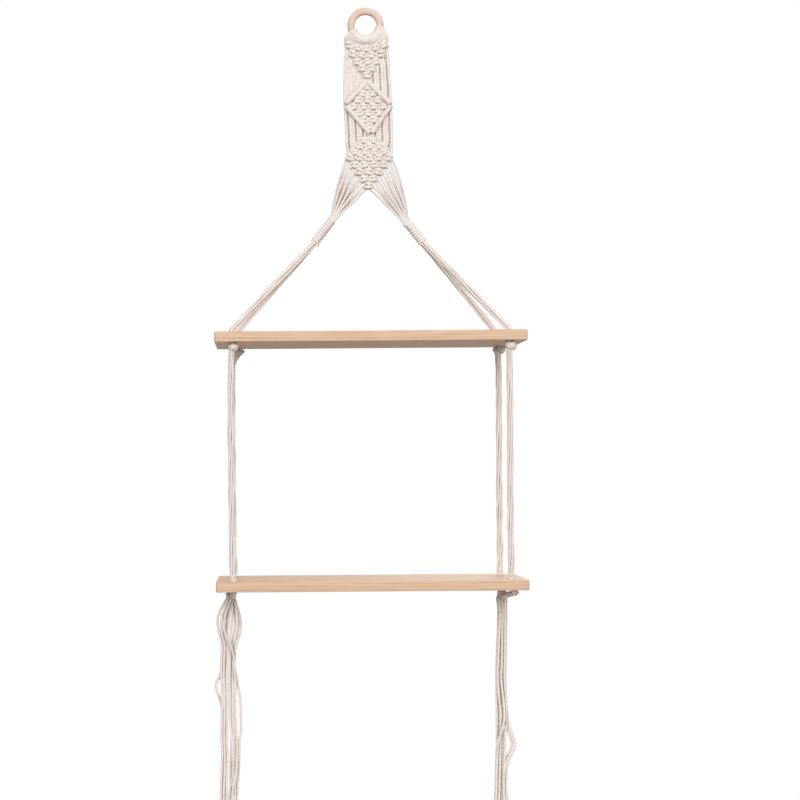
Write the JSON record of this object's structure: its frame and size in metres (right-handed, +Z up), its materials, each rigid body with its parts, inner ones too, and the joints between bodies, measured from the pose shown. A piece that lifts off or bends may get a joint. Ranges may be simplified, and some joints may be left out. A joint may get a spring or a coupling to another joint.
{
  "type": "hanging rope shelf",
  "caption": "Hanging shelf of wooden boards carried by knotted cotton cords under a wooden ring, with loose tassels below.",
  "frame": {"origin": "top of the ring's eye, inside, where a wall hook carries the shelf", "axes": "+Z up, +X along the boards to the right as seen from the front, +Y to the back, towards the wall"},
  "size_m": [0.4239, 0.13, 1.1906],
  "materials": {
    "cotton_cord": "natural twisted cotton, matt",
    "pine_board": "pale, fine sanded, matt",
    "beech_ring": "smooth, satin"
  },
  "bodies": {
    "ring": {"hanging_ring": "beech_ring"},
    "cord_loops": {"cord_loops_1": "cotton_cord", "cord_loops_2": "cotton_cord", "cord_loops_3": "cotton_cord", "cord_loops_4": "cotton_cord", "cord_loops_5": "cotton_cord"},
    "band": {"band_upper_knots": "cotton_cord", "band_diamond": "cotton_cord", "band_lower_knots": "cotton_cord", "left_fan": "cotton_cord", "right_fan": "cotton_cord", "left_gathering_wrap": "cotton_cord", "right_gathering_wrap": "cotton_cord"},
    "upper_shelf": {"upper_board": "pine_board", "left_front_leg": "cotton_cord", "left_back_leg": "cotton_cord", "right_front_leg": "cotton_cord", "right_back_leg": "cotton_cord"},
    "left_front_knot": {"left_front_upper_knot": "cotton_cord"},
    "left_front_drop": {"left_front_rope_drop": "cotton_cord"},
    "left_back_knot": {"left_back_upper_knot": "cotton_cord"},
    "left_back_drop": {"left_back_rope_drop": "cotton_cord"},
    "right_front_knot": {"right_front_upper_knot": "cotton_cord"},
    "right_front_drop": {"right_front_rope_drop": "cotton_cord"},
    "right_back_knot": {"right_back_upper_knot": "cotton_cord"},
    "right_back_drop": {"right_back_rope_drop": "cotton_cord"},
    "left_back_foot": {"left_back_rope_foot": "cotton_cord"},
    "lower_shelf": {"lower_board": "pine_board", "left_front_lower_strands": "cotton_cord", "left_back_lower_strands": "cotton_cord", "right_front_lower_strands": "cotton_cord", "right_back_lower_strands": "cotton_cord", "left_front_rope_foot": "cotton_cord", "right_front_rope_foot": "cotton_cord", "right_back_rope_foot": "cotton_cord"},
    "left_gather": {"left_gather_knot": "cotton_cord"},
    "left_tassel": {"left_tassel_strand_1": "cotton_cord", "left_tassel_strand_2": "cotton_cord", "left_tassel_strand_3": "cotton_cord", "left_tassel_strand_4": "cotton_cord", "left_tassel_strand_5": "cotton_cord", "left_tassel_strand_6": "cotton_cord", "left_tassel_strand_7": "cotton_cord", "left_tassel_strand_8": "cotton_cord", "left_tassel_strand_9": "cotton_cord", "left_tassel_strand_10": "cotton_cord"},
    "right_gather": {"right_gather_knot": "cotton_cord"},
    "right_tassel": {"right_tassel_strand_1": "cotton_cord", "right_tassel_strand_2": "cotton_cord", "right_tassel_strand_3": "cotton_cord", "right_tassel_strand_4": "cotton_cord", "right_tassel_strand_5": "cotton_cord", "right_tassel_strand_6": "cotton_cord", "right_tassel_strand_7": "cotton_cord", "right_tassel_strand_8": "cotton_cord", "right_tassel_strand_9": "cotton_cord", "right_tassel_strand_10": "cotton_cord"}
  },
  "joints": [
    {"name": "sideways_swing", "type": "hinge", "parent": "ring", "child": "cord_loops", "pos_m": [0, 0, -0.015], "axis": [0, 1, 0], "range_deg": [-20, 20]},
    {"name": "band_swing", "type": "hinge", "parent": "cord_loops", "child": "band", "pos_m": [0, 0, -0.04712], "axis": [1, 0, 0], "range_deg": [-15, 15]},
    {"name": "upper_board_swing", "type": "hinge", "parent": "band", "child": "upper_shelf", "pos_m": [0, 0, -0.3145], "axis": [1, 0, 0], "range_deg": [-12, 12]},
    {"name": "lower_board_swing_in_depth", "type": "hinge", "parent": "upper_shelf", "child": "left_back_knot", "pos_m": [-0.187, 0.05, -0.463], "axis": [1, 0, 0], "range_deg": [-15, 15]},
    {"name": "lower_board_swing_sideways", "type": "hinge", "parent": "left_back_knot", "child": "left_back_drop", "pos_m": [-0.187, 0.05, -0.463], "axis": [0, 1, 0], "range_deg": [-15, 15]},
    {"name": "left_front_knot_swing", "type": "hinge", "parent": "upper_shelf", "child": "left_front_knot", "pos_m": [-0.187, -0.05, -0.463], "axis": [1, 0, 0], "range_deg": [-15, 15]},
    {"name": "left_front_drop_swing", "type": "hinge", "parent": "left_front_knot", "child": "left_front_drop", "pos_m": [-0.187, -0.05, -0.463], "axis": [0, 1, 0], "range_deg": [-15, 15]},
    {"name": "right_front_knot_swing", "type": "hinge", "parent": "upper_shelf", "child": "right_front_knot", "pos_m": [0.187, -0.05, -0.463], "axis": [1, 0, 0], "range_deg": [-15, 15]},
    {"name": "right_front_drop_swing", "type": "hinge", "parent": "right_front_knot", "child": "right_front_drop", "pos_m": [0.187, -0.05, -0.463], "axis": [0, 1, 0], "range_deg": [-15, 15]},
    {"name": "right_back_knot_swing", "type": "hinge", "parent": "upper_shelf", "child": "right_back_knot", "pos_m": [0.187, 0.05, -0.463], "axis": [1, 0, 0], "range_deg": [-15, 15]},
    {"name": "right_back_drop_swing", "type": "hinge", "parent": "right_back_knot", "child": "right_back_drop", "pos_m": [0.187, 0.05, -0.463], "axis": [0, 1, 0], "range_deg": [-15, 15]},
    {"name": "foot_swing", "type": "hinge", "parent": "left_back_drop", "child": "left_back_foot", "pos_m": [-0.187, 0.05, -0.77111], "axis": [0, 1, 0], "range_deg": [-15, 15]},
    {"name": "lower_board_level", "type": "hinge", "parent": "left_back_foot", "child": "lower_shelf", "pos_m": [-0.187, 0.05, -0.77111], "axis": [1, 0, 0], "range_deg": [-15, 15]},
    {"name": "left_gather_swing", "type": "hinge", "parent": "lower_shelf", "child": "left_gather", "pos_m": [-0.192, 0, -0.7973], "axis": [0, 1, 0], "range_deg": [-20, 20]},
    {"name": "left_tassel_swing", "type": "hinge", "parent": "left_gather", "child": "left_tassel", "pos_m": [-0.192, 0, -0.7973], "axis": [1, 0, 0], "range_deg": [-20, 20]},
    {"name": "right_gather_swing", "type": "hinge", "parent": "lower_shelf", "child": "right_gather", "pos_m": [0.182, 0, -0.7973], "axis": [0, 1, 0], "range_deg": [-20, 20]},
    {"name": "right_tassel_swing", "type": "hinge", "parent": "right_gather", "child": "right_tassel", "pos_m": [0.182, 0, -0.7973], "axis": [1, 0, 0], "range_deg": [-20, 20]}
  ],
  "couplings": [
    {"joint": "left_front_knot_swing", "follows": "lower_board_swing_in_depth", "ratio": 1},
    {"joint": "left_front_drop_swing", "follows": "lower_board_swing_sideways", "ratio": 1},
    {"joint": "right_front_knot_swing", "follows": "lower_board_swing_in_depth", "ratio": 1},
    {"joint": "right_front_drop_swing", "follows": "lower_board_swing_sideways", "ratio": 1},
    {"joint": "right_back_knot_swing", "follows": "lower_board_swing_in_depth", "ratio": 1},
    {"joint": "right_back_drop_swing", "follows": "lower_board_swing_sideways", "ratio": 1},
    {"joint": "foot_swing", "follows": "lower_board_swing_sideways", "ratio": -1},
    {"joint": "lower_board_level", "follows": "lower_board_swing_in_depth", "ratio": -1}
  ]
}
